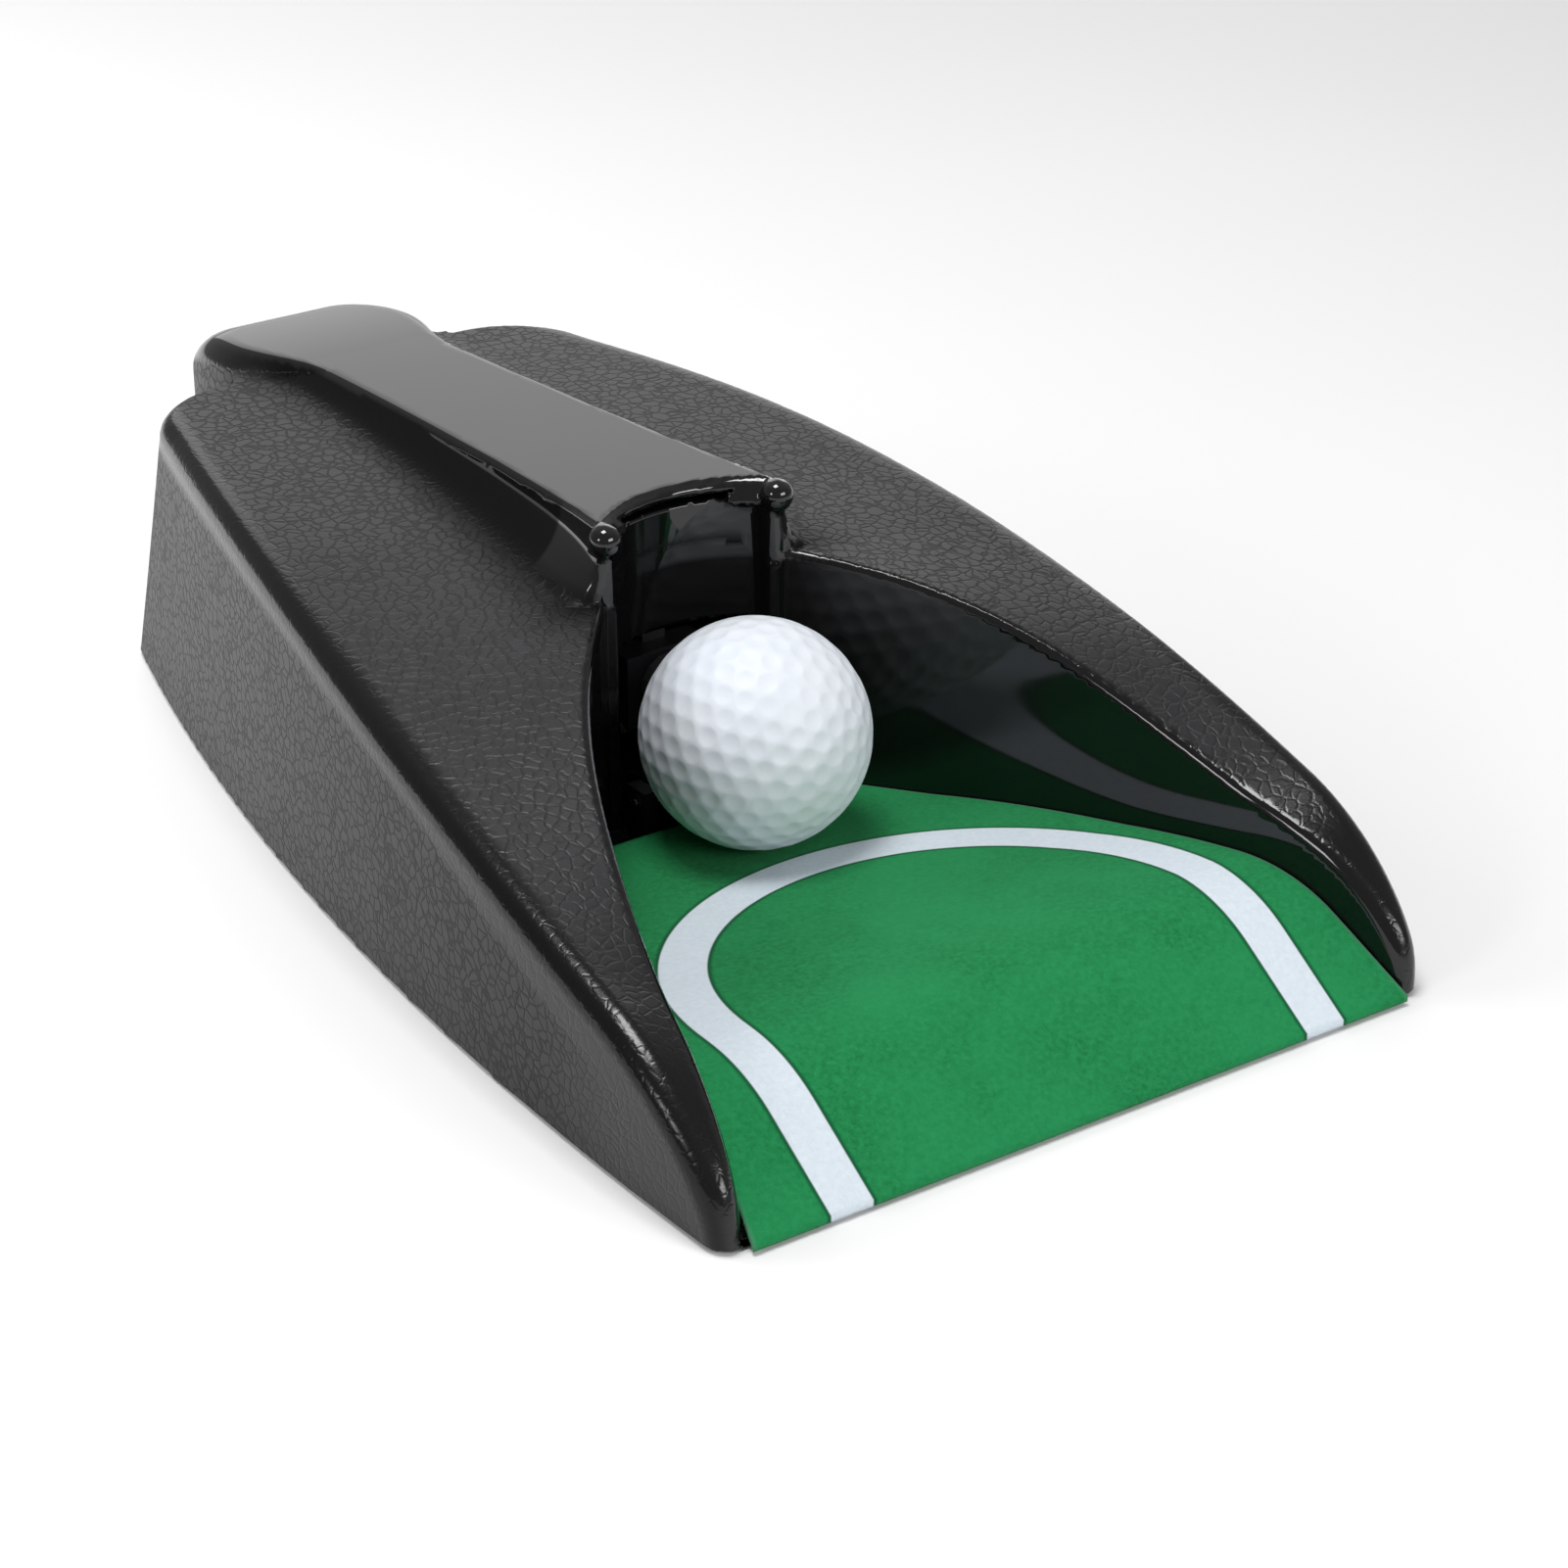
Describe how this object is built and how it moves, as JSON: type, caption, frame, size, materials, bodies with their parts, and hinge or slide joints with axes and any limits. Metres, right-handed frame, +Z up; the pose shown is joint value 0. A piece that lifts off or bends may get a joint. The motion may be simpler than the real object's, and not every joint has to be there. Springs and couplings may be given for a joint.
{
  "type": "automatic golf putting cup",
  "caption": "Ball-return putting cup: felt ramp between two shoulders, hooded mouth with a ball in its seat, and a battery-driven sprung hammer inside.",
  "frame": {"origin": "centre of the bounding box at floor level, under the middle of the machine", "axes": "+Z up, -Y towards the front lip of the ramp, +Y towards the tail, +X to the right seen from the front"},
  "size_m": [0.1544, 0.284, 0.0722],
  "materials": {
    "housing_black": "moulded black ABS: leather grain on the shoulders and flanks, polished on the hood and in the chute",
    "plain_black": "fine matt moulding",
    "felt_green": "short needle felt with a printed white line",
    "ball_white": "dimpled cover with a clear coat",
    "rubber_black": "matt",
    "steel": "zinc plated",
    "motor_can": null,
    "cell_wrap": null,
    "contact_nickel": "nickel plated spring plate",
    "gear_acetal": "natural acetal",
    "pinion_brass": "turned brass",
    "lever_grey": "dark grey acetal",
    "lead_red": "PVC sleeve",
    "lead_black": "PVC sleeve"
  },
  "bodies": {
    "housing": {"upper_housing": "housing_black", "base_plate": "plain_black", "gearbox_plate_left": "plain_black", "gearbox_plate_right": "plain_black", "trigger_switch_case": "plain_black", "power_switch_case": "plain_black", "putting_felt": "felt_green", "rubber_foot_1": "rubber_black", "rubber_foot_2": "rubber_black", "rubber_foot_3": "rubber_black", "rubber_foot_4": "rubber_black", "case_screw_1": "steel", "case_screw_2": "steel", "case_screw_3": "steel", "case_screw_4": "steel", "case_screw_5": "steel", "case_screw_6": "steel", "gearbox_spacer_1": "steel", "gearbox_spacer_2": "steel", "cam_axle": "steel", "second_gear_axle": "steel", "first_gear_axle": "steel", "hammer_axle": "steel", "hammer_spring": "steel", "trigger_pin": "steel", "motor": "motor_can", "battery_cell_1": "cell_wrap", "battery_cell_2": "cell_wrap", "battery_cell_3": "cell_wrap", "battery_cell_4": "cell_wrap", "battery_contact_front": "contact_nickel", "battery_contact_back": "contact_nickel", "lead_trigger_switch_to_motor": "lead_red", "lead_motor_to_battery": "lead_red", "lead_battery_to_power_switch": "lead_black", "lead_power_switch_to_trigger_switch": "lead_black"},
    "ball": {"golf_ball": "ball_white"},
    "hammer": {"hammer_arm": "lever_grey", "hammer_pad": "rubber_black"},
    "cam": {"cam_wheel": "gear_acetal"},
    "second_gear": {"second_gear": "gear_acetal"},
    "first_gear": {"first_gear": "gear_acetal"},
    "motor_rotor": {"motor_shaft": "steel", "motor_pinion": "pinion_brass"},
    "trigger": {"trigger_lever": "lever_grey"},
    "trigger_plunger": {"trigger_switch_plunger": "lever_grey"},
    "power_knob": {"power_switch_knob": "lever_grey"},
    "battery_door": {"battery_door": "plain_black"}
  },
  "joints": [
    {"name": "ball_roll", "type": "slide", "parent": "housing", "child": "ball", "axis": [0, -0.9945, 0.1044], "range_m": [0, 0.062]},
    {"name": "hammer_swing", "type": "hinge", "parent": "housing", "child": "hammer", "pos_m": [0, -0.0065, 0.06], "axis": [1, 0, 0], "range_deg": [0, 20], "stiffness_Nm_per_rad": 0.12, "springref_deg": -20.05},
    {"name": "cam_turn", "type": "hinge", "parent": "housing", "child": "cam", "pos_m": [0, 0.026, 0.038], "axis": [1, 0, 0], "range_deg": [-75, 215]},
    {"name": "second_gear_turn", "type": "hinge", "parent": "housing", "child": "second_gear", "pos_m": [0, 0.049, 0.038], "axis": [1, 0, 0], "continuous": true},
    {"name": "first_gear_turn", "type": "hinge", "parent": "housing", "child": "first_gear", "pos_m": [0, 0.067, 0.0467], "axis": [1, 0, 0], "continuous": true},
    {"name": "motor_turn", "type": "hinge", "parent": "housing", "child": "motor_rotor", "pos_m": [0, 0.084, 0.0382], "axis": [1, 0, 0], "continuous": true},
    {"name": "trigger_press", "type": "hinge", "parent": "housing", "child": "trigger", "pos_m": [0, -0.019, 0.013], "axis": [-1, 0, 0], "range_deg": [0, 8], "stiffness_Nm_per_rad": 0.02, "springref_deg": -5.73},
    {"name": "trigger_switch_press", "type": "slide", "parent": "housing", "child": "trigger_plunger", "axis": [0, 0, -1], "range_m": [0, 0.0018]},
    {"name": "power_switch_slide", "type": "slide", "parent": "housing", "child": "power_knob", "axis": [1, 0, 0], "range_m": [0, 0.004]},
    {"name": "battery_door_open", "type": "hinge", "parent": "housing", "child": "battery_door", "pos_m": [0, 0.0563, 0.0035], "axis": [-1, 0, 0], "range_deg": [0, 85]}
  ],
  "couplings": [
    {"joint": "second_gear_turn", "follows": "cam_turn", "ratio": -3.6},
    {"joint": "first_gear_turn", "follows": "cam_turn", "ratio": 10.8},
    {"joint": "motor_turn", "follows": "cam_turn", "ratio": -40.5},
    {"joint": "trigger_switch_press", "follows": "trigger_press", "m_per_rad": 0.0095}
  ]
}
